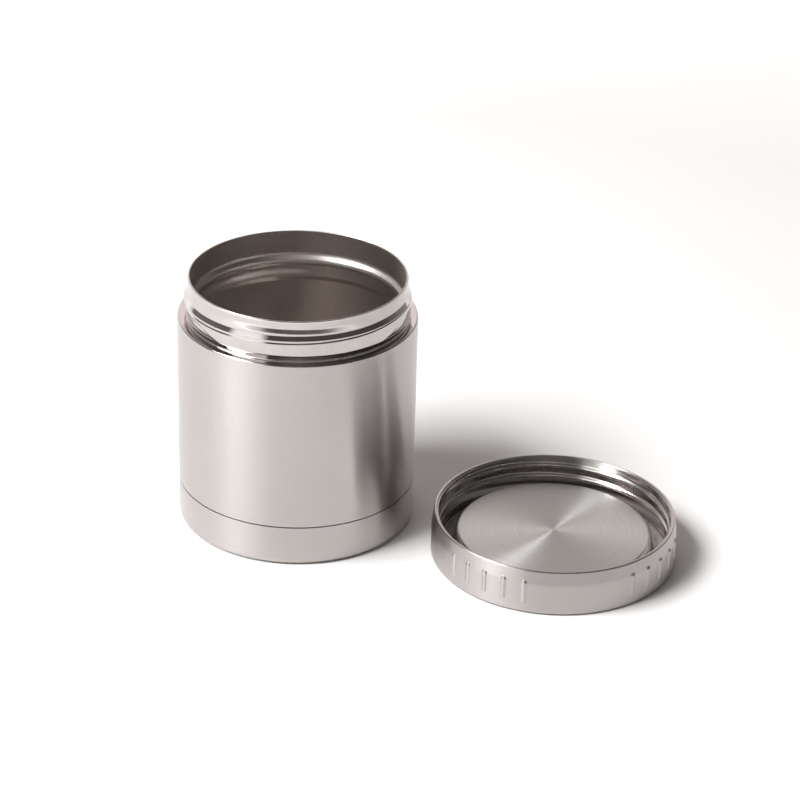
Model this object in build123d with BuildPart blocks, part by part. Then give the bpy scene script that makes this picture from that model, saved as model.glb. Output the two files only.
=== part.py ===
from build123d import *
from math import cos, radians, sin
import os

# Insulated food jar: a double-walled vacuum jar, and its screw-on lid lying upside down beside it.
# Millimetres, +Z up. The origin is the centre of the jar's base, on the surface that it stands on.
# The lid's axis stands on +X.

# ---- jar, outside; the neck runs down from the rim: collar, flare, shelf, ledge, step, ridge, groove ----
body_radius = 47.5
jar_height = 104.0
shoulder_height = 87.5
shoulder_slope = 0.2
neck_radius = 43.3
shoulder_rounding = 0.7
rim_band = 1.4
collar_radius = 43.4
collar_height = 101.3
flare_radius = 43.88
flare_height = 99.2
shelf_radius = 43.95
shelf_height = 98.3
ledge_radius = 44.62
ledge_height = 96.4
step_radius = 44.68
step_height = 95.7
ridge_radius = 45.0
ridge_lean = 0.05
ridge_top = 95.1
ridge_bottom = 90.2
groove_radius = 43.6
groove_top = 89.4
shell_sheet = 0.4
rim_rounding = 0.3

# ---- base cover and its seam ----
seam_height = 16.6
seam_gap = 0.35
seam_bevel = 0.1
base_sheet = 0.5
joggle_bottom = 11.0
foot_inner_radius = 38.0
foot_slope = 1.5
panel_recess = 1.0
base_corner = 2.3

# ---- vessel ----
vessel_sheet = 0.4
mouth_radius = neck_radius - shell_sheet - vessel_sheet
slope_top = 93.7
bead_radius = 41.0
bead_top = 90.9
bead_bottom = 90.3
recess_radius = 42.1
recess_top = 89.2
recess_bottom = 88.0
lip_height = 84.4
lip_drop = 2.2
vessel_radius = 43.1
vessel_floor = 9.0
vessel_corner = 9.0

# ---- vacuum jacket ----
jacket_sheet = 0.6
jacket_plate = 4.2
jacket_rim = 15.0
jacket_corner = 3.0
port_radius = 1.2
port_dimple_radius = 6.6
port_dimple_height = 1.2
port_dimple_slope = 1.4
seal_inset = 0.8
seal_recess = 0.3
foil_thickness = 0.15
foil_margin = 5.0
foil_start = 2.0
getter_place = 25.0
getter_radius = 4.0
getter_height = 2.0
getter_chamfer = 0.2
clip_sheet = 0.4
clip_width = 5.0
clip_foot = 3.0
clip_clearance = 1.0
clip_slope = 0.6

# ---- lid, as it lies on its top face ----
lid_place = 108.2
lid_height = 18.6
lid_radius = 48.5
lid_edge_radius = 47.6
lid_taper_start = 13.0
lid_sheet = 0.4
hem_inner_radius = 46.4
hem_depth = 1.6
liner_radius = hem_inner_radius - lid_sheet
liner_edge = 18.0
channel_floor = 1.4
disc_radius = 39.0
disc_height = 10.4
disc_corner = 1.8
liner_bead_crest = 45.3
liner_bead_heights = (9.2, 13.8)
liner_bead_half_width = 1.5

# ---- grip ribs pressed out of the lid's wall ----
rib_group_angles = (-108.4, -16.4, 71.6, 163.6)
ribs_in_group = 5
rib_pitch = 9.9
rib_length = 10.9
rib_radius = 1.7
rib_rise = 0.4
rib_middle = 9.3

# ---- gasket and foam core ----
gasket_inner_radius = 40.2
gasket_outer_radius = 43.9
gasket_thickness = 1.5
gasket_rounding = 0.4
core_gap = 0.15
core_rounding = 1.4

jar_axis = Axis.Z
lid_axis = Axis((lid_place, 0, 0), (0, 0, 1))
lid_section = Plane(origin=(lid_place, 0, 0), x_dir=(1, 0, 0), z_dir=(0, -1, 0))

# ---- outer shell: stepped lower end, wall, shoulder, groove, screw ridge and flared neck ----
joggle_radius = body_radius - base_sheet
shell_foot = seam_height + seam_gap

with BuildPart() as outer_shell:
    with BuildSketch(Plane.XZ):
        with BuildLine():
            FilletPolyline(
                (joggle_radius, joggle_bottom),
                (joggle_radius, shell_foot - seam_bevel / 2),
                (body_radius, shell_foot + seam_bevel / 2),
                (body_radius, shoulder_height),
                (groove_radius, shoulder_height - shoulder_slope),
                (groove_radius, groove_top),
                (ridge_radius, ridge_bottom),
                (ridge_radius - ridge_lean, ridge_top),
                (step_radius, step_height),
                (ledge_radius, ledge_height),
                (shelf_radius, shelf_height),
                (flare_radius, flare_height),
                (collar_radius, collar_height),
                (neck_radius, jar_height - rim_band),
                (neck_radius, jar_height),
                radius=(0, 0, shoulder_rounding, 0.6, 0.5, 0.5, 0.2, 0.3, 0.4, 0.6, 1.5, 3.0, 3.0),
            )
            offset(amount=shell_sheet, side=Side.LEFT)
        make_face()
    revolve(axis=jar_axis)
    rim_edges = outer_shell.edges().group_by(Axis.Z)[-1]
    fillet(rim_edges.sort_by(SortBy.RADIUS)[-1], radius=rim_rounding)

# ---- base cover: a cup with a flat foot ring and a raised middle panel ----
with BuildPart() as base_cover:
    with BuildSketch(Plane.XZ):
        with BuildLine():
            FilletPolyline(
                (body_radius, seam_height),
                (body_radius, 0),
                (foot_inner_radius, 0),
                (foot_inner_radius - foot_slope, panel_recess),
                (0, panel_recess),
                radius=(base_corner, 0.8, 0.8),
            )
            offset(amount=base_sheet, side=Side.RIGHT)
        make_face()
    revolve(axis=jar_axis)

# ---- inner vessel: rim, two beads in the neck, straight wall and rounded floor ----
with BuildPart() as inner_vessel:
    with BuildSketch(Plane.XZ):
        with BuildLine():
            FilletPolyline(
                (mouth_radius, jar_height),
                (mouth_radius, slope_top),
                (bead_radius, bead_top),
                (bead_radius, bead_bottom),
                (recess_radius, recess_top),
                (recess_radius, recess_bottom),
                (bead_radius, lip_height),
                (vessel_radius, lip_height - lip_drop),
                (vessel_radius, vessel_floor),
                (0, vessel_floor),
                radius=(1.6, 0.8, 0.6, 0.8, 0.6, 0.6, 1.0, vessel_corner),
            )
            offset(amount=vessel_sheet, side=Side.LEFT)
        make_face()
    revolve(axis=jar_axis)
    rim_edges = inner_vessel.edges().group_by(Axis.Z)[-1]
    fillet(rim_edges.sort_by(SortBy.RADIUS)[0], radius=rim_rounding)

# ---- jacket bottom: a dished plate with a dimple round the evacuation port ----
jacket_radius = joggle_radius - shell_sheet
port_ceiling = jacket_plate + port_dimple_height

with BuildPart() as jacket_bottom:
    with BuildSketch(Plane.XZ):
        with BuildLine():
            FilletPolyline(
                (jacket_radius, jacket_rim),
                (jacket_radius, jacket_plate),
                (port_dimple_radius + port_dimple_slope, jacket_plate),
                (port_dimple_radius, port_ceiling),
                (port_radius, port_ceiling),
                radius=(jacket_corner, 0, 0),
            )
            offset(amount=jacket_sheet, side=Side.RIGHT)
        make_face()
    revolve(axis=jar_axis)

# ---- port seal: glass solder in the dimple, with a plug in the port ----
seal_radius = port_dimple_radius - seal_inset

with BuildPart() as port_seal:
    with BuildSketch(Plane.XZ):
        with BuildLine():
            Polyline(
                (0, jacket_plate + seal_recess),
                (seal_radius - seal_inset, jacket_plate + seal_recess),
                (seal_radius, port_ceiling),
                (port_radius, port_ceiling),
                (port_radius, port_ceiling + jacket_sheet),
                (0, port_ceiling + jacket_sheet),
                close=True,
            )
        make_face()
    revolve(axis=jar_axis)

# ---- radiation foil: a sleeve on the vessel's straight wall ----
foil_radius = vessel_radius + vessel_sheet
foil_bottom = vessel_floor + vessel_corner + foil_start
foil_height = lip_height - foil_margin - foil_bottom

with BuildPart() as radiation_foil:
    with BuildSketch(Plane.XY.offset(foil_bottom)):
        Circle(foil_radius + foil_thickness)
        Circle(foil_radius, mode=Mode.SUBTRACT)
    extrude(amount=foil_height)

# ---- getter pill on the jacket bottom, under its clip ----
getter_floor = jacket_plate + jacket_sheet
getter_top = getter_floor + getter_height
clip_reach = getter_radius + clip_clearance

with BuildPart() as getter_pill:
    with BuildSketch(Plane(origin=(getter_place, 0, getter_floor))):
        Circle(getter_radius)
    extrude(amount=getter_height)
    chamfer(getter_pill.edges(), length=getter_chamfer)

with BuildPart() as getter_clip:
    with BuildSketch(Plane.XZ.offset(-clip_width / 2)):
        with BuildLine():
            Polyline(
                (getter_place - clip_reach - clip_foot, getter_floor),
                (getter_place - clip_reach, getter_floor),
                (getter_place - clip_reach + clip_slope, getter_top),
                (getter_place + clip_reach - clip_slope, getter_top),
                (getter_place + clip_reach, getter_floor),
                (getter_place + clip_reach + clip_foot, getter_floor),
            )
            offset(amount=clip_sheet, side=Side.LEFT)
        make_face()
    extrude(amount=clip_width)

# ---- lid shell: flat top, tapered wall and hemmed edge, with the pressed grip ribs ----
rib_start = -(ribs_in_group - 1) / 2 * rib_pitch
rib_angles = [
    group_angle + rib_start + rib * rib_pitch
    for group_angle in rib_group_angles
    for rib in range(ribs_in_group)
]
rib_reach = lid_radius + rib_rise - rib_radius
rib_places = [
    (lid_place + rib_reach * cos(radians(angle)), rib_reach * sin(radians(angle)), rib_middle)
    for angle in rib_angles
]


def rib_rods(radius):
    """Upright rods with round ends, one at each rib."""
    straight = rib_length - 2 * rib_radius
    with BuildPart() as rods:
        with Locations(*rib_places):
            Cylinder(radius, straight)
            with Locations((0, 0, straight / 2), (0, 0, -straight / 2)):
                Sphere(radius)
    return rods.part


with BuildPart() as lid_shell:
    with BuildSketch(lid_section):
        with BuildLine():
            FilletPolyline(
                (0, 0),
                (lid_radius, 0),
                (lid_radius, lid_taper_start),
                (lid_edge_radius, lid_height),
                (hem_inner_radius, lid_height),
                (hem_inner_radius, lid_height - hem_depth),
                radius=(1.3, 8.0, 0.58, 0.58),
            )
            offset(amount=lid_sheet, side=Side.LEFT)
        make_face()
    revolve(axis=lid_axis)
    # Each rib is pressed outwards: a half-round ridge outside, and the same form hollowed from inside.
    with BuildPart(mode=Mode.PRIVATE) as ridges:
        add(rib_rods(rib_radius))
        with BuildSketch(Plane(origin=(lid_place, 0, 0))):
            Circle(lid_radius - lid_sheet / 2)
        extrude(amount=lid_height, mode=Mode.SUBTRACT)
    add(ridges.part)
    add(rib_rods(rib_radius - lid_sheet), mode=Mode.SUBTRACT)

# ---- lid liner: threaded wall, seal channel and raised disc ----
bead_points = []
bead_radii = []
for height in reversed(liner_bead_heights):
    bead_points += [
        (liner_radius, height + liner_bead_half_width),
        (liner_bead_crest, height),
        (liner_radius, height - liner_bead_half_width),
    ]
    bead_radii += [0.7, 0.9, 0.7]

with BuildPart() as lid_liner:
    with BuildSketch(lid_section):
        with BuildLine():
            FilletPolyline(
                (liner_radius, liner_edge),
                *bead_points,
                (liner_radius, channel_floor),
                (disc_radius, channel_floor),
                (disc_radius, disc_height),
                (0, disc_height),
                radius=(*bead_radii, 0.9, 0.9, disc_corner),
            )
            offset(amount=lid_sheet, side=Side.LEFT)
        make_face()
    revolve(axis=lid_axis)

# ---- foam core in the hollow of the raised disc ----
core_radius = disc_radius - lid_sheet - core_gap
core_top = disc_height - lid_sheet - core_gap

with BuildPart() as lid_core:
    with BuildSketch(Plane(origin=(lid_place, 0, lid_sheet))):
        Circle(core_radius)
    extrude(amount=core_top - lid_sheet)
    fillet(lid_core.edges().group_by(Axis.Z)[-1], radius=core_rounding)

# ---- gasket: a silicone ring on the channel's floor ----
with BuildPart() as lid_gasket:
    with BuildSketch(Plane(origin=(lid_place, 0, channel_floor))):
        Circle(gasket_outer_radius)
        Circle(gasket_inner_radius, mode=Mode.SUBTRACT)
    extrude(amount=gasket_thickness)
    fillet(lid_gasket.edges().group_by(Axis.Z)[-1], radius=gasket_rounding)

finished = {
    "outer_shell": outer_shell,
    "base_cover": base_cover,
    "inner_vessel": inner_vessel,
    "jacket_bottom": jacket_bottom,
    "port_seal": port_seal,
    "radiation_foil": radiation_foil,
    "getter_pill": getter_pill,
    "getter_clip": getter_clip,
    "lid_shell": lid_shell,
    "lid_liner": lid_liner,
    "lid_core": lid_core,
    "lid_gasket": lid_gasket,
}
os.makedirs("parts", exist_ok=True)
for name, builder in finished.items():
    builder.part.label = name
    export_step(builder.part, f"parts/{name}.step")
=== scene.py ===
import math

import bpy
from mathutils import Matrix, Vector


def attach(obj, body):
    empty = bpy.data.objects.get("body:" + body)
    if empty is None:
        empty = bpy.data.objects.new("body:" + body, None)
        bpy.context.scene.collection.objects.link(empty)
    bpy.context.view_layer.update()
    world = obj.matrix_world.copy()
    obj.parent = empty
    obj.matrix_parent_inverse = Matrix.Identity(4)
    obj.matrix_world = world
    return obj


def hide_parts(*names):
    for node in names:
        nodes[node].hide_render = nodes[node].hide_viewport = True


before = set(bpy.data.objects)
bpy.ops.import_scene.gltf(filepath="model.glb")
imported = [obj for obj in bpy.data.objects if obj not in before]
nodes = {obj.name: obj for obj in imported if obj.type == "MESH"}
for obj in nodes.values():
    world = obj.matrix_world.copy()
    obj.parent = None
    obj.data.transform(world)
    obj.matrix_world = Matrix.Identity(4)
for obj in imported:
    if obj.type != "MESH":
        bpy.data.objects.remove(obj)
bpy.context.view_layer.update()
bpy.context.scene.view_settings.view_transform = "Standard"

mm = 0.001
weldGap = 0.002 * mm  # corners that lie closer than this become one
smoothAngle = 40  # edges flatter than this, in degrees, are shaded smooth
usual = (0.3, 0.7)  # a noise's values lie mostly between these
narrow = (0.35, 0.65)


def dropSelection():
    bpy.ops.object.select_all(action="DESELECT")


def onlySelect(piece):
    dropSelection()
    piece.select_set(True)
    bpy.context.view_layer.objects.active = piece


def roundedOutline(corners, arcSteps):
    # corners are (radius, height, rounding) in mm; a rounded one becomes an arc with arcSteps to the radian
    points = []
    for index, (x, z, rounding) in enumerate(corners):
        here = Vector((x, z))
        if rounding == 0 or index in (0, len(corners) - 1):
            points.append(here)
            continue
        before = Vector(corners[index - 1][:2]) - here
        after = Vector(corners[index + 1][:2]) - here
        half = before.angle(after) / 2
        middle = here + (before.normalized() + after.normalized()).normalized() * (rounding / math.sin(half))
        first = here + before.normalized() * (rounding / math.tan(half)) - middle
        last = here + after.normalized() * (rounding / math.tan(half)) - middle
        turn = first.angle_signed(last)
        steps = max(2, round(arcSteps * abs(turn)))
        for step in range(steps + 1):
            points.append(middle + Matrix.Rotation(-turn * step / steps, 2) @ first)
    return points


def cutUp(points, longest):
    # splits the runs of an outline that are longer than longest, in mm
    cut = [points[0]]
    for point in points[1:]:
        start = cut[-1]
        parts = max(1, math.ceil((point - start).length / longest))
        for part in range(1, parts + 1):
            cut.append(start.lerp(point, part / parts))
    return cut


def spinOutline(name, outline, axisX=0.0, steps=360):
    # draws the outline edge by edge and spins it a full turn round the upright axis at axisX
    dropSelection()
    start = outline[0]
    bpy.ops.mesh.primitive_plane_add(size=mm, location=((axisX + start.x) * mm, 0, start.y * mm))
    piece = bpy.context.active_object
    piece.name = piece.data.name = name
    bpy.ops.object.transform_apply(location=True, rotation=False, scale=False)
    bpy.ops.object.mode_set(mode="EDIT")
    bpy.ops.mesh.select_all(action="SELECT")
    bpy.ops.mesh.merge(type="CENTER")
    for here, there in zip(outline, outline[1:]):
        step = ((there.x - here.x) * mm, 0, (there.y - here.y) * mm)
        bpy.ops.mesh.extrude_vertices_move(TRANSFORM_OT_translate={"value": step})
    bpy.ops.mesh.select_all(action="SELECT")
    bpy.ops.mesh.remove_doubles(threshold=weldGap)
    bpy.ops.mesh.spin(
        steps=steps, angle=math.tau, center=(axisX * mm, 0, 0), axis=(0, 0, 1), use_auto_merge=True,
    )
    bpy.ops.mesh.select_all(action="SELECT")
    bpy.ops.mesh.remove_doubles(threshold=weldGap)
    bpy.ops.mesh.normals_make_consistent(inside=False)
    bpy.ops.object.mode_set(mode="OBJECT")
    return piece


def smoothFaces(piece):
    onlySelect(piece)
    bpy.ops.object.shade_smooth_by_angle(angle=math.radians(smoothAngle))
    dropSelection()


class Value:
    # one socket of a material; arithmetic on it adds Math nodes
    def __init__(self, tree, socket):
        self.tree = tree
        self.socket = socket

    def worked(self, operation, first, second):
        node = self.tree.nodes.new("ShaderNodeMath")
        node.operation = operation
        plug(self.tree, node.inputs[0], first)
        plug(self.tree, node.inputs[1], second)
        return Value(self.tree, node.outputs[0])

    def __add__(self, other):
        return self.worked("ADD", self, other)

    def __radd__(self, other):
        return self.worked("ADD", other, self)

    def __sub__(self, other):
        return self.worked("SUBTRACT", self, other)

    def __rsub__(self, other):
        return self.worked("SUBTRACT", other, self)

    def __mul__(self, other):
        return self.worked("MULTIPLY", self, other)

    def __rmul__(self, other):
        return self.worked("MULTIPLY", other, self)


def plug(tree, place, term):
    if isinstance(term, Value):
        tree.links.new(term.socket, place)
    else:
        place.default_value = term


class Finish:
    # one material, built round a Principled shader
    def __init__(self, name, **constants):
        self.material = bpy.data.materials.new(name)
        self.material.use_nodes = True
        self.tree = self.material.node_tree
        self.shader = self.tree.nodes["Principled BSDF"]
        for socket, value in constants.items():
            self.shader.inputs[socket.replace("_", " ")].default_value = value

    def node(self, kind, settings=None, values=None, out=0):
        made = self.tree.nodes.new("ShaderNode" + kind)
        for setting, value in (settings or {}).items():
            if setting == "stops":
                ramp = made.color_ramp
                while len(ramp.elements) < len(value):
                    ramp.elements.new(0.5)
                for element, (place, colour) in zip(ramp.elements, value):
                    element.position = place
                    element.color = colour
            else:
                setattr(made, setting, value)
        for socket, value in (values or {}).items():
            plug(self.tree, made.inputs[socket], value)
        return Value(self.tree, made.outputs[out])

    def feed(self, socket, value):
        plug(self.tree, self.shader.inputs[socket], value)

    def placed(self, centre, scale=(1, 1, 1)):
        # object coordinates, measured from centre (metres) and scaled
        spot = self.node("TexCoord", out="Object")
        moved = self.node("Mapping", {"vector_type": "TEXTURE"}, {"Vector": spot, "Location": centre})
        return self.node("VectorMath", {"operation": "MULTIPLY"}, {0: moved, 1: scale})

    def height(self, centre):
        return self.node("SeparateXYZ", {}, {0: self.placed(centre)}, out="Z")

    def reach(self, centre):
        # distance from the upright axis through centre
        flat = self.placed(centre, (1, 1, 0))
        return self.node("VectorMath", {"operation": "LENGTH"}, {0: flat}, out="Value")

    def noise(self, vector, detail=2.0, harshness=0.5):
        values = {"Vector": vector, "Scale": 1.0, "Detail": detail, "Roughness": harshness}
        return self.node("TexNoise", {}, values)

    def grain(self, centre, scale, detail=2.0, harshness=0.5):
        # scale is in grains to the metre along x, y and z
        return self.noise(self.placed(centre, scale), detail, harshness)

    def spread(self, value, low, high, toLow=0.0, toHigh=1.0):
        ends = {"From Min": low, "From Max": high, "To Min": toLow, "To Max": toHigh}
        return self.node("MapRange", {}, {"Value": value, **ends})

    def around(self, value, middle, uneven):
        # a noise's usual values become middle - uneven to middle + uneven
        return self.spread(value, *usual, middle - uneven, middle + uneven)

    def mixColour(self, factor, first, second):
        return self.node("Mix", {"data_type": "RGBA"}, {"Factor": factor, 6: first, 7: second}, out=2)

    def bump(self, height, strength, distance):
        return self.node("Bump", {}, {"Height": height, "Strength": strength, "Distance": distance})


steelLook = {
    "paleSteel": (0.54, 0.51, 0.499, 1),
    "deepSteel": (0.49, 0.46, 0.449, 1),
    "linerSteel": (0.72, 0.685, 0.67, 1),
    "insideSteel": (0.73, 0.68, 0.652, 1),
    "insideShade": (0.58, 0.54, 0.515, 1),
    "discSteel": (0.56, 0.56, 0.547, 1),
    "discGroove": (0.415, 0.415, 0.405, 1),
    # painted shade: a near-black colour that stands in for the shade in the seam's gap and along the foot
    # edges
    "grime": (0.035, 0.03, 0.027, 1),
    "wallRoughness": 0.30,
    "baseRoughness": 0.31,
    "lidRoughness": 0.33,
    "wallUneven": 0.015,  # how far the roughness changes from line to line
    "wallHandled": (-0.01, 0.015),  # and where hands have been
    "wallStretch": 0.92,
    "wallRelief": (0.06, 0.02 * mm),  # strength and depth of the bump
    "discRoughness": 0.33,
    "discUneven": 0.04,
    "discStretch": 0.95,
    "discRelief": (0.15, 0.02 * mm),
    "quarterTurn": 0.25,  # turns the stretch, so that highlights spread across the brushing
    "neckRoughness": 0.07,
    "linerRoughness": 0.14,
    "polishedUneven": (0.8, 1.25),  # least and most, as shares of the roughness
    "polishedRelief": (0.05, 0.01 * mm),
    "insideRoughness": 0.33,
    "insideUneven": 0.02,
    "insideRelief": (0.12, 0.02 * mm),
    "beadHeight": 0.0925,  # the cup's upper bead, which is rubbed duller
    "beadHalves": (0.0018, 0.0028),  # half widths between which that fades
    "beadDuller": 0.03,
    # grains to the metre along x, y and z, then levels of detail and their harshness
    "hairlines": ((45, 45, 5200), 3.0, 0.6),
    "speckle": ((1100, 1100, 2400), 2.0, 0.5),
    "handling": ((30, 30, 30), 3.0, 0.55),
    "drawnMarks": ((30, 30, 1500), 2.0, 0.5),
    "smears": ((90, 90, 90), 4.0, 0.6),
    "pickled": ((1400, 1400, 1400), 3.0, 0.6),
    "streaks": ((50, 50, 700), 2.0, 0.5),
    # the disc's rings: breaks along x and y, and grains outwards from its centre
    "ringBreaks": (40, 40, 0),
    "fineRings": (4200, 3.0, 0.6),
    "wideRings": (1300, 2.0, 0.5),
}


def brushedWall(name, centre, roughness, grime, ribTops=None):
    # hairlines run level round the wall; painted shade darkens the seam's gap or the foot edge where it meets
    # the floor, and ribs may have duller tops
    look = steelLook
    stretch, turned = look["wallStretch"], look["quarterTurn"]
    finish = Finish(name, Metallic=1.0, Anisotropic=stretch, Anisotropic_Rotation=turned)
    height = finish.height(centre)
    lines = finish.grain(centre, *look["hairlines"]) * 0.5 + finish.grain(centre, *look["speckle"]) * 0.5
    colour = finish.mixColour(finish.spread(lines, *usual), look["deepSteel"], look["paleSteel"])
    # painted shade: the steel's colour is darkened between the given heights to stand in for shade
    low, high = grime["heights"]
    soiled = finish.spread(height, low, low + grime["soft"], 0.0, grime["share"])
    soiled *= finish.spread(height, high, high + grime["soft"], 1.0, 0.0)
    finish.feed("Base Color", finish.mixColour(soiled, colour, look["grime"]))
    worn = finish.around(lines, roughness, look["wallUneven"])
    worn += finish.spread(finish.grain(centre, *look["handling"]), 0.35, 0.7, *look["wallHandled"])
    if ribTops:
        proud = finish.reach(centre) - ribTops["wall"] + (height - ribTops["from"]) * ribTops["lean"]
        onTop = finish.spread(proud, *ribTops["proud"])
        onTop *= finish.spread(height, ribTops["from"], ribTops["full"])
        onTop *= finish.spread(height, ribTops["to"], ribTops["none"], 1.0, 0.0)
        worn += onTop * ribTops["duller"]
    finish.feed("Roughness", worn)
    finish.feed("Normal", finish.bump(lines, *look["wallRelief"]))
    return finish.material


def brushedDisc(name, centre):
    # hairlines run in rings round the centre
    look = steelLook
    stretch, turned = look["discStretch"], look["quarterTurn"]
    finish = Finish(name, Metallic=1.0, Anisotropic=stretch, Anisotropic_Rotation=turned)
    reach = finish.reach(centre)
    breaks = finish.placed(centre, look["ringBreaks"])
    acrossX = finish.node("SeparateXYZ", {}, {0: breaks}, out="X")
    acrossY = finish.node("SeparateXYZ", {}, {0: breaks}, out="Y")
    fineScale, *fineDetail = look["fineRings"]
    wideScale, *wideDetail = look["wideRings"]
    fine = finish.node("CombineXYZ", {}, {"X": acrossX, "Y": acrossY, "Z": reach * fineScale})
    wide = finish.node("CombineXYZ", {}, {"Z": reach * wideScale})
    lines = finish.noise(fine, *fineDetail) * 0.6 + finish.noise(wide, *wideDetail) * 0.4
    tone = finish.spread(lines, 0.32, 0.68)
    finish.feed("Base Color", finish.mixColour(tone, look["discGroove"], look["discSteel"]))
    finish.feed("Roughness", finish.around(lines, look["discRoughness"], look["discUneven"]))
    finish.feed("Normal", finish.bump(lines, *look["discRelief"]))
    return finish.material


def polishedSteel(name, centre, roughness, dark, pale):
    # a buffed surface with faint drawing marks and smears
    look = steelLook
    finish = Finish(name, Metallic=1.0)
    drawn = finish.grain(centre, *look["drawnMarks"])
    smears = finish.grain(centre, *look["smears"])
    finish.feed("Base Color", finish.mixColour(finish.spread(smears, *narrow), look[dark], look[pale]))
    least, most = look["polishedUneven"]
    marks = smears * 0.6 + drawn * 0.4
    finish.feed("Roughness", finish.spread(marks, *narrow, roughness * least, roughness * most))
    finish.feed("Normal", finish.bump(drawn, *look["polishedRelief"]))
    return finish.material


def satinSteel(name, centre):
    # the drawn and pickled inside of the cup
    look = steelLook
    finish = Finish(name, Metallic=1.0)
    grain = finish.grain(centre, *look["pickled"])
    streaks = finish.grain(centre, *look["streaks"])
    tone = finish.spread(grain, *usual)
    finish.feed("Base Color", finish.mixColour(tone, look["insideShade"], look["insideSteel"]))
    fromBead = finish.node("Math", {"operation": "ABSOLUTE"}, {0: finish.height(centre) - look["beadHeight"]})
    onBead = finish.spread(fromBead, *look["beadHalves"], look["beadDuller"], 0.0)
    marks = finish.around(grain * 0.5 + streaks * 0.5, look["insideRoughness"], look["insideUneven"])
    finish.feed("Roughness", marks + onBead)
    finish.feed("Normal", finish.bump(grain * 0.8 + streaks * 0.2, *look["insideRelief"]))
    return finish.material


ringLook = {
    "dark": (0.50, 0.485, 0.475, 1),
    "pale": (0.56, 0.545, 0.535, 1),
    "roughness": (0.42, 0.58),
    "relief": (0.15, 0.03 * mm),
    "clearness": 0.15,
    "clearDepth": 1.5 * mm,  # how deep light goes into the rubber
    "bending": 1.41,
    "dust": ((900, 900, 900), 4.0, 0.65),
    "cloud": ((70, 70, 70), 2.0, 0.5),
}


def siliconeRubber(name, centre, look):
    clearness, clearDepth = look["clearness"], look["clearDepth"]
    finish = Finish(name, IOR=look["bending"], Subsurface_Weight=clearness, Subsurface_Scale=clearDepth)
    dust = finish.grain(centre, *look["dust"])
    cloud = finish.grain(centre, *look["cloud"])
    finish.feed("Base Color", finish.mixColour(finish.spread(cloud, *narrow), look["dark"], look["pale"]))
    finish.feed("Roughness", finish.spread(dust, *usual, *look["roughness"]))
    finish.feed("Normal", finish.bump(dust, *look["relief"]))
    return finish.material


plainMetal = {"metallic": 1.0, "detail": 3.0, "harshness": 0.6, "uneven": 0.06, "relief": (0.2, 0.03 * mm)}
dullSolid = {"metallic": 0.0, "detail": 4.0, "harshness": 0.65, "uneven": 0.08, "relief": (0.4, 0.1 * mm)}
innerParts = {  # what only shows in a cut: node, its finish, kind, dark and pale tone, roughness, grain in mm
    "jacket_bottom": ("rawSteel", plainMetal, (0.40, 0.37, 0.35, 1), (0.52, 0.49, 0.47, 1), 0.42, 1.2),
    "radiation_foil": ("copperFoil", plainMetal, (0.62, 0.30, 0.19, 1), (0.80, 0.45, 0.31, 1), 0.25, 4.0),
    "getter_clip": ("clipSteel", plainMetal, (0.45, 0.44, 0.42, 1), (0.58, 0.56, 0.54, 1), 0.3, 1.2),
    "port_seal": ("solderGlass", dullSolid, (0.05, 0.05, 0.055, 1), (0.09, 0.09, 0.1, 1), 0.2, 0.8),
    "getter_pill": ("getterPowder", dullSolid, (0.16, 0.155, 0.15, 1), (0.26, 0.25, 0.24, 1), 0.85, 0.5),
    "lid_core": ("coreFoam", dullSolid, (0.74, 0.70, 0.60, 1), (0.84, 0.80, 0.70, 1), 0.9, 0.9),
}


def grainySolid(name, kind, dark, pale, roughness, grainSize):
    finish = Finish(name, Metallic=kind["metallic"])
    grain = finish.grain((0, 0, 0), (1 / (grainSize * mm),) * 3, kind["detail"], kind["harshness"])
    finish.feed("Base Color", finish.mixColour(finish.spread(grain, *usual), dark, pale))
    finish.feed("Roughness", finish.around(grain, roughness, kind["uneven"]))
    finish.feed("Normal", finish.bump(grain, *kind["relief"]))
    return finish.material


lidX = 108.2
lidCentre = (lidX * mm, 0, 0)
jarCentre = (0, 0, 0)
# the heights between which painted shade lies, how softly it ends there, and how much of the steel it hides
# painted shade in the seam's gap between wall and base cover, and in a thin band just above it
seamGrime = {"heights": (11.0 * mm, 17.07 * mm), "soft": 0.03 * mm, "share": 0.9}
# painted contact shade along the foot edge of the base and the lid, where the steel meets the floor
footGrime = {"heights": (0.1 * mm, 0.55 * mm), "soft": 0.35 * mm, "share": 0.85}
ribTops = {
    "wall": 48.5 * mm,
    "lean": 0.16,  # how far the wall draws in, as a share of the height
    "proud": (0.03 * mm, 0.1 * mm),  # distances in front of the wall over which a spot comes to count as rib
    # heights at which the duller top starts, is whole, starts to fade and is gone
    "from": 13.0 * mm,
    "full": 13.8 * mm,
    "to": 14.8 * mm,
    "none": 15.0 * mm,
    "duller": 0.5,
}
wallBrush = brushedWall("jarWallBrush", jarCentre, steelLook["wallRoughness"], seamGrime)
baseBrush = brushedWall("baseBrush", jarCentre, steelLook["baseRoughness"], footGrime)
lidBrush = brushedWall("lidBrush", lidCentre, steelLook["lidRoughness"], footGrime, ribTops)
neckPolish = polishedSteel("neckPolish", jarCentre, steelLook["neckRoughness"], "deepSteel", "paleSteel")
linerPolish = polishedSteel("linerPolish", lidCentre, steelLook["linerRoughness"], "linerSteel", "linerSteel")
discBrush = brushedDisc("discBrush", lidCentre)
cupSatin = satinSteel("cupSatin", jarCentre)
ringSilicone = siliconeRubber("ringSilicone", lidCentre, ringLook)
print("finishes made")


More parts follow.
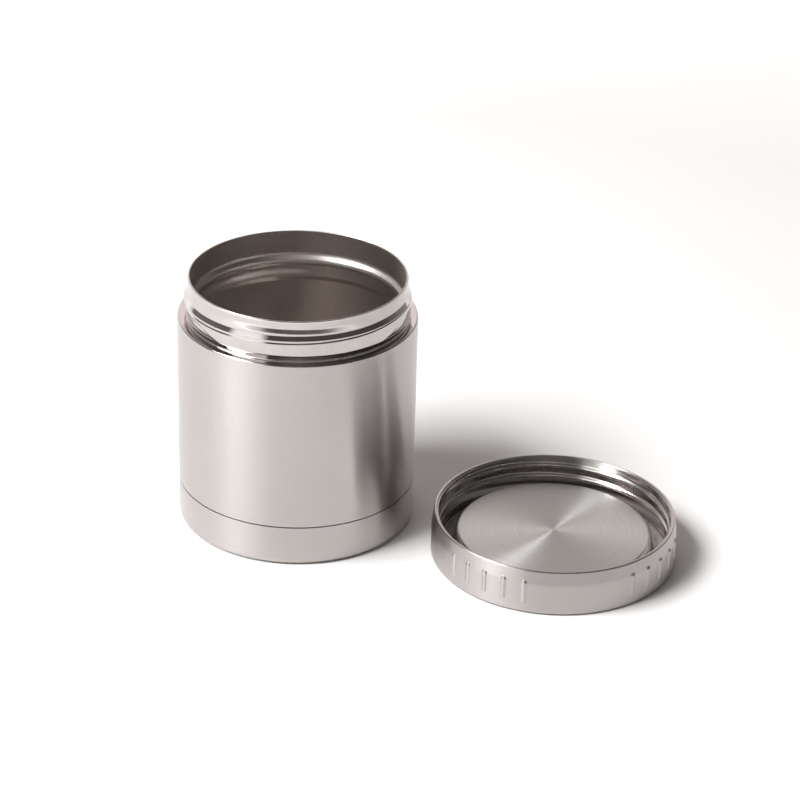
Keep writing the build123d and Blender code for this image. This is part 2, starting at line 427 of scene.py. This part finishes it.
jarSheet = {
    "outline": [  # radius, height, rounding
        (47.0, 11.0, 0), (47.0, 16.9, 0), (47.5, 17.0, 0), (47.5, 87.5, 0.7), (43.6, 87.3, 0.6),
        (43.6, 89.4, 0.5), (45.0, 90.2, 0.5), (44.95, 95.1, 0.2), (44.68, 95.7, 0.3), (44.62, 96.4, 0.4),
        (43.95, 98.3, 0.6), (43.92, 98.8, 1.0), (43.78, 99.4, 3.0), (43.475, 100.7, 3.0),
        (43.355, 101.25, 2.0), (43.3, 102.3, 3.0), (43.28, 103.25, 1.0), (43.12, 104.0, 0),
    ],
    "shoulder": 87.5,  # the outline's height where the wall turns in
    "polishFrom": 86.9,  # the neck's polish starts at this height
    "thickness": 0.4,
    "rimRounding": 0.28,
    "rimSteps": 4,
    "neckStart": 85.6,
    "wallStep": 12,  # longest step of the outline below the neck's start, and above it
    "finestStep": 0.3,
    "arcSteps": (10, 5),  # steps to the radian, outside and inside
    "screwLead": 4.9,
    "screwFront": -70.6,  # the turn at which the ridge lies as the outline has it; a second one lies behind
    "fadeTurns": (72, 90),  # turns from there over which the climb fades to meet the second ridge
    "ridge": (90.4, 94.9),
    "underRidge": 0.5,  # how far below the ridge its ends are still pressed in
    # the climb dies out from the first height to the second in front, and to the third at the sides
    "held": (98.2, 98.9, 103.0),
    "leftEnd": (36.0, 70.0),  # turns over which the ridge's lower edge runs up to its upper one
    "rightEnd": (43.0, 78.0),
    "endRise": 4.6,
    "endDepth": 1.1,
    "endFlank": 1.5,
    "endStart": (0.2, 1.0),  # rise of the lower edge over which the end grows to its depth
    "footClimb": 0.3,  # share of the climb that the ridge's lower edge takes
    "rightRise": 0.35,  # extra climb on the right of the front, and the turns over which it comes
    "riseTurns": (30, 65),
    "ledge": (95.3, 96.4),
    "ledgeLag": 0.65,  # share of the climb that the ledge on the right goes without
    # height, and how far in the sides lie there; the turns over which that comes; how much more on the right
    "drawnIn": ((96.4, 0.0), (98.3, 0.28), (99.0, 0.26), (101.35, 0.0)),
    "sideTurns": (22.0, 48.0),
    "rightDrawn": 1.5,
}


def between(value, low, high):
    # 0 below low, 1 above high, eased in the middle
    share = min(1.0, max(0.0, (value - low) / (high - low)))
    return share * share * (3 - 2 * share)


def along(points, place):
    # reads a list of (place, value) pairs between its points
    for (here, first), (there, last) in zip(points, points[1:]):
        if here <= place <= there:
            return first + (last - first) * (place - here) / (there - here)
    return 0.0


def screwShape(look, radius, height, turn):
    # where a corner of the plain spun neck comes to lie at this turn, in mm
    turn = (turn - look["screwFront"] + 90) % 180 - 90
    onRight = turn > 0
    fading = 1 - between(abs(turn), *look["fadeTurns"])
    climb = (look["screwLead"] * turn / 360 + look["rightRise"] * between(turn, *look["riseTurns"])) * fading
    if onRight:
        climb *= 1 - look["ledgeLag"] * between(height, *look["ledge"])
    low, high = look["ridge"]
    if height < high:
        lifted = height + climb * between(height, low, high)
        endTurns = look["rightEnd" if onRight else "leftEnd"]
        edge = low + climb * look["footClimb"] + look["endRise"] * between(abs(turn), *endTurns)
        slight, whole = look["endStart"]
        cut = between(edge, low + slight, low + whole) * between(height, low - look["underRidge"], low)
        cut *= 1 - between(lifted, edge - look["endFlank"], edge)
        return radius - look["endDepth"] * cut, lifted
    side = between(abs(turn), *look["sideTurns"])
    drawn = along(look["drawnIn"], height) * side * fading * (look["rightDrawn"] if onRight else 1.0)
    start, front, far = look["held"]
    kept = 1 - between(height, start, front + (far - front) * side)
    return radius - drawn, height + climb * kept


def buildJarSheet(look):
    outerArcs, innerArcs = look["arcSteps"]
    outside = roundedOutline(look["outline"], outerArcs)
    wall = [point for point in outside if point.y < look["neckStart"]]
    neck = [point for point in outside if point.y >= look["neckStart"]]
    wall.append(Vector((wall[-1].x, look["neckStart"])))
    outside = cutUp(wall, look["wallStep"]) + cutUp([wall[-1]] + neck, look["finestStep"])[1:]
    rim = outside.pop()
    bend = look["rimRounding"]
    middle = Vector((rim.x - bend, rim.y - bend))
    for step in range(look["rimSteps"] + 1):
        angle = math.radians(90 / look["rimSteps"] * step)
        outside.append(middle + Vector((math.cos(angle), math.sin(angle))) * bend)
    thin = look["thickness"]
    inside = [(x - thin, z - thin * (z == look["shoulder"]), rounding) for x, z, rounding in look["outline"]]
    outside += reversed(roundedOutline(inside, innerArcs))
    piece = spinOutline("jarOuterSheet", outside + [outside[0]])
    for corner in piece.data.vertices:
        x, y, z = corner.co / mm
        reach = math.hypot(x, y)
        if look["ridge"][0] - look["underRidge"] < z < look["held"][2]:
            radius, z = screwShape(look, reach, z, math.degrees(math.atan2(y, x)))
            corner.co = Vector((x * radius / reach, y * radius / reach, z)) * mm
    return piece


jarOuterSheet = buildJarSheet(jarSheet)
for material in (wallBrush, neckPolish):
    jarOuterSheet.data.materials.append(material)
for face in jarOuterSheet.data.polygons:
    face.material_index = 1 if face.center.z > jarSheet["polishFrom"] * mm else 0
smoothFaces(jarOuterSheet)
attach(jarOuterSheet, "jar")
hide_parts("outer_shell")
print("outer sheet", len(jarOuterSheet.data.polygons), "faces")


cupSheet = {
    "outline": [  # radius, height, rounding
        (42.48, 104.0, 0.28), (42.48, 94.4, 1.6), (42.24, 93.4, 1.6), (41.24, 91.9, 1.6), (41.0, 90.9, 0.8),
        (41.0, 90.3, 0.6), (41.8, 89.2, 0.8), (41.75, 88.0, 1.2), (41.6, 87.1, 1.6), (41.2, 85.6, 1.6),
        (41.05, 84.5, 0.5), (43.1, 82.2, 1.0), (43.1, 9.0, 9.0), (0, 9.0, 0),
    ],
    "floor": 9.0,
    "thickness": 0.4,
    "longestSteps": (8, 12),  # inside and outside
    "arcSteps": (12, 5),
    # the lower bead runs out behind on the right: height, and how far the wall stands back there
    "runOut": ((82.2, 0.0), (84.4, 0.72), (85.6, 0.57), (87.1, 0.18), (88.2, 0.0)),
    "runOutTurns": (67.0, 24.0, 46.0),  # its middle, and the half widths at which it starts and ends to fade
}


def buildCupSheet(look):
    innerStep, outerStep = look["longestSteps"]
    innerArcs, outerArcs = look["arcSteps"]
    thin = look["thickness"]
    rimRadius, rimHeight = look["outline"][0][:2]
    inside = roundedOutline([(rimRadius + thin, rimHeight, 0)] + look["outline"], innerArcs)
    outside = []
    for x, z, rounding in look["outline"][1:]:
        outside.append((x + thin * (x > 0), z - thin * (z == look["floor"]), rounding))
    outside = list(reversed(roundedOutline(outside, outerArcs)))
    piece = spinOutline("cupInnerSheet", cutUp(inside, innerStep) + cutUp(outside, outerStep) + [inside[0]])
    middle, full, none = look["runOutTurns"]
    for corner in piece.data.vertices:
        x, y, z = corner.co / mm
        back = along(look["runOut"], z)
        if back > 0:
            turn = (math.degrees(math.atan2(y, x)) - middle + 90) % 180 - 90
            grown = 1 + back * (1 - between(abs(turn), full, none)) / math.hypot(x, y)
            corner.co.x, corner.co.y = x * grown * mm, y * grown * mm
    return piece


cupInnerSheet = buildCupSheet(cupSheet)
cupInnerSheet.data.materials.append(cupSatin)
smoothFaces(cupInnerSheet)
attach(cupInnerSheet, "jar")
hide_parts("inner_vessel")
print("cup sheet", len(cupInnerSheet.data.polygons), "faces")


lidLiner = {
    "wall": 46.0,
    "lip": 18.0,
    "island": 39.0,  # radius of the raised disc, and its height
    "deck": 10.4,
    "channel": 1.4,  # height of the ring channel's floor
    "roundings": (0.9, 0.9, 1.8),  # at the wall's foot, the island's foot and the island's edge
    "backRoundings": (1.3, 0.5, 1.4),
    "thickness": 0.4,
    "wallFrom": 45.9,  # points beyond this radius are cut finely
    "finestStep": 0.3,
    "floorStep": 4,
    "arcSteps": (8, 5),  # steps to the radian, inside and outside
    "pressedFrom": 45.5,  # the screw is pressed beyond this radius and between these heights
    "pressedHeights": (2.5, 17.6),
    "screwLead": 4.9,
    "screwRise": 1.05,
    "screwHalf": 1.35,
    "screwStart": 8.4,  # height of a ridge's crest at turn 0
    "screwEnds": (5.4, 6.6, 15.2, 16.2),  # crest heights where it starts, is whole, starts to fade, is gone
    "discFrom": 10.2,  # faces above this height that point up are brushed in rings
    "discUp": 0.7,
}


def ridgeIn(look, height, turn):
    # how far the wall is pressed inwards at this height and turn, in mm
    nearest = look["screwStart"] + look["screwLead"] * turn / 360
    nearest += look["screwLead"] * round((height - nearest) / look["screwLead"])
    away = abs(height - nearest) / look["screwHalf"]
    if away >= 1:
        return 0.0
    ends = look["screwEnds"]
    present = between(nearest, ends[0], ends[1]) * (1 - between(nearest, ends[2], ends[3]))
    return look["screwRise"] * present * (0.5 + 0.5 * math.cos(math.pi * away))


def linerOutline(look, back, roundings):
    # the liner's section, set back by back from its inner face
    wall, island = look["wall"] + back, look["island"] - back
    channel, deck = look["channel"] - back, look["deck"] - back
    foot, islandFoot, edge = roundings
    return [
        (wall, look["lip"], 0), (wall, channel, foot), (island, channel, islandFoot), (island, deck, edge),
        (0, deck, 0),
    ]


def buildLidLiner(look):
    innerArcs, outerArcs = look["arcSteps"]
    inside = roundedOutline(linerOutline(look, 0.0, look["roundings"]), innerArcs)
    wall = [point for point in inside if point.x > look["wallFrom"]]
    rest = [point for point in inside if point.x <= look["wallFrom"]]
    inside = cutUp(wall, look["finestStep"]) + cutUp([wall[-1]] + rest, look["floorStep"])[1:]
    outside = roundedOutline(linerOutline(look, look["thickness"], look["backRoundings"]), outerArcs)
    piece = spinOutline("lidThreadLiner", inside + list(reversed(outside)) + [inside[0]], lidX)
    low, high = look["pressedHeights"]
    for corner in piece.data.vertices:
        x, y, z = corner.co.x / mm - lidX, corner.co.y / mm, corner.co.z / mm
        reach = math.hypot(x, y)
        if reach > look["pressedFrom"] and low < z < high:
            pressed = 1 - ridgeIn(look, z, math.degrees(math.atan2(y, x))) / reach
            corner.co.x = (lidX + x * pressed) * mm
            corner.co.y = y * pressed * mm
    return piece


lidThreadLiner = buildLidLiner(lidLiner)
for material in (linerPolish, discBrush):
    lidThreadLiner.data.materials.append(material)
for face in lidThreadLiner.data.polygons:
    onDisc = face.center.z > lidLiner["discFrom"] * mm and face.normal.z > lidLiner["discUp"]
    face.material_index = 1 if onDisc else 0
smoothFaces(lidThreadLiner)
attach(lidThreadLiner, "lid")
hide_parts("lid_liner")
print("lid liner", len(lidThreadLiner.data.polygons), "faces")


def dress(node, material):
    slots = nodes[node].data.materials
    slots.clear()
    slots.append(material)


dress("base_cover", baseBrush)
dress("lid_shell", lidBrush)
dress("lid_gasket", ringSilicone)
for node, look in innerParts.items():
    dress(node, grainySolid(*look))
print("nodes dressed")


studio = {
    "floorSize": 14.0,
    "floorHeight": -0.02 * mm,
    "floorTones": ((0.925, 0.92, 0.915, 1), (0.945, 0.94, 0.935, 1)),
    "floorGrain": (3, 3, 3),
    "floorRoughness": (0.7, 0.8),
    "floorSheen": 0.2,
    "farGlow": ((0.45, 1.3), 0.8),  # distances over which the paper brightens by itself, and its full glow
    "facing": -70.6,  # turn from the jar towards the camera
    "aim": (0.05, 0, 0.06),  # the spot that the lights point at
    "lights": {  # onFloor lights the floor and other dull things, mirrored shows as a highlight on the steel
        "keyLight": {
            "turn": -138.0, "rise": 42.0, "distance": 1.7, "size": (0.55, 0.55), "power": 12.0,
            "onFloor": False, "mirrored": True,
        },
        "highLight": {
            "turn": -151.5, "rise": 50.0, "distance": 1.7, "size": (0.85, 0.6), "power": 18.0,
            "onFloor": False, "mirrored": True,
        },
        "floorFill": {
            "turn": -140.0, "rise": 51.5, "distance": 1.9, "size": (1.0, 0.75), "power": 49.0,
            "onFloor": True, "mirrored": False,
        },
    },
    # glow of the walls by turn: 0 at the camera, its right above 0; at the horizon, low down and halfway up
    "horizonGlow": {
        -180: 1.4, -134: 0.9, -122: 0.28, -74: 0.25, -66: 0.9, -40: 0.9, -31: 0.13, 30: 0.13, 60: 0.12,
        95: 0.12, 125: 0.35, 142: 0.6, 180: 1.4,
    },
    "lowGlow": {
        -180: 1.1, -160: 1.45, -136: 0.9, -122: 0.28, -73: 0.2, -65: 1.6, -38: 1.6, -29: 0.12, 0: 0.1,
        45: 0.1, 90: 0.1, 120: 0.3, 140: 0.4, 180: 1.1,
    },
    "middleGlow": {
        -180: 1.3, -160: 1.0, -135: 0.4, -90: 0.1, -70: 0.1, -68: 1.6, -34: 1.6, -32: 0.1, 0: 0.35, 45: 0.08,
        90: 0.05, 135: 0.05, 180: 1.3,
    },
    "topGlow": 0.08,
    "horizonEnd": (5.0, 8.0),  # rises between which one row passes into the next
    "lowEnd": (12.0, 27.0),
    "topStart": (45.0, 65.0),
    "mostGlow": 2.0,
    "fillTint": (1.0, 0.92, 0.90),
    "neutralFrom": 1.5,  # glows below this take the tint
    "cameraSees": 1.0,
}


def layFloor(look):
    dropSelection()
    bpy.ops.mesh.primitive_plane_add(size=look["floorSize"], location=(0, 0, look["floorHeight"]))
    floor = bpy.context.active_object
    floor.name = "paleFloor"
    bpy.ops.object.transform_apply(location=True, rotation=False, scale=False)
    finish = Finish("palePaper", Specular_IOR_Level=look["floorSheen"], Emission_Strength=1.0)
    cloud = finish.grain((0, 0, 0), look["floorGrain"])
    finish.feed("Base Color", finish.mixColour(finish.spread(cloud, *usual), *look["floorTones"]))
    finish.feed("Roughness", finish.spread(cloud, *usual, *look["floorRoughness"]))
    (near, far), full = look["farGlow"]
    distant = finish.spread(finish.reach((0, 0, 0)), near, far)
    finish.feed("Emission Color", finish.mixColour(distant, (0, 0, 0, 1), (full, full, full, 1)))
    floor.data.materials.append(finish.material)


def hangLight(name, look, aim):
    dropSelection()
    turn, rise = math.radians(look["turn"]), math.radians(look["rise"])
    away = Vector((math.cos(rise) * math.cos(turn), math.cos(rise) * math.sin(turn), math.sin(rise)))
    spot = away * look["distance"]
    bpy.ops.object.light_add(type="AREA", location=spot)
    light = bpy.context.active_object
    light.name = light.data.name = name
    light.rotation_euler = (Vector(aim) - spot).to_track_quat("-Z", "Y").to_euler()
    light.data.shape = "RECTANGLE"
    light.data.size, light.data.size_y = look["size"]
    light.data.energy = look["power"]
    light.visible_camera = False
    light.visible_glossy = look["mirrored"]
    light.visible_diffuse = look["onFloor"]


class Room(Finish):
    # the light that the room gives from each direction
    def __init__(self, name):
        self.world = bpy.data.worlds.new(name)
        self.world.use_nodes = True
        self.tree = self.world.node_tree
        self.shader = self.tree.nodes["Background"]


def surround(look):
    room = Room("studioRoom")
    bpy.context.scene.world = room.world
    way = room.node("TexCoord", out="Generated")
    facing = math.radians(look["facing"])

    def towards(x, y):
        return room.node("VectorMath", {"operation": "DOT_PRODUCT"}, {0: way, 1: (x, y, 0)}, out="Value")

    def degrees(operation, values):
        return room.node("Math", {"operation": operation}, values) * (180 / math.pi)

    def row(glows):
        # dim stops take the warm tint of the fill, and the bright ones are neutral
        stops = []
        for place, glow in sorted(glows.items()):
            tint = look["fillTint"] if glow < look["neutralFrom"] else (1, 1, 1)
            stops.append(((place + 180) / 360, (*(glow / look["mostGlow"] * part for part in tint), 1)))
        return room.node("ValToRGB", {"stops": stops}, {"Fac": turn * (1 / 360) + 0.5})

    ahead = towards(math.cos(facing), math.sin(facing))
    side = towards(-math.sin(facing), math.cos(facing))
    turn = degrees("ARCTAN2", {0: side, 1: ahead})  # 0 at the camera, right of it above 0
    rise = degrees("ARCSINE", {0: room.node("SeparateXYZ", {}, {0: way}, out="Z")})
    lowDown = room.spread(rise, *look["horizonEnd"])
    glow = room.mixColour(lowDown, row(look["horizonGlow"]), row(look["lowGlow"]))
    glow = room.mixColour(room.spread(rise, *look["lowEnd"]), glow, row(look["middleGlow"]))
    topColour = (*(look["topGlow"] / look["mostGlow"] * part for part in look["fillTint"]), 1)
    glow = room.mixColour(room.spread(rise, *look["topStart"]), glow, topColour)
    seen = room.node("LightPath", out="Is Camera Ray")
    room.feed("Color", room.mixColour(seen, glow, (*(look["cameraSees"] / look["mostGlow"],) * 3, 1)))
    room.feed("Strength", look["mostGlow"])


layFloor(studio)
surround(studio)
for name, light in studio["lights"].items():
    hangLight(name, light, studio["aim"])

lens = {
    "place": (0.3275, -0.9301, 0.5566),
    "heading": 17.006,
    "dip": 27.2146,
    "roll": 1.5774,
    "focal": 124.5,
    "sensor": 36.0,
    "farthest": 50.0,
}
bpy.ops.object.camera_add(location=lens["place"])
camera = bpy.context.active_object
headed = Matrix.Rotation(math.radians(lens["heading"]), 3, "Z")
dipped = headed @ Matrix.Rotation(math.radians(90 - lens["dip"]), 3, "X")
camera.rotation_euler = (dipped @ Matrix.Rotation(math.radians(lens["roll"]), 3, "Z")).to_euler()
camera.data.lens = lens["focal"]
camera.data.sensor_width = lens["sensor"]
camera.data.clip_end = lens["farthest"]
bpy.context.scene.camera = camera
print("floor, light and camera set")
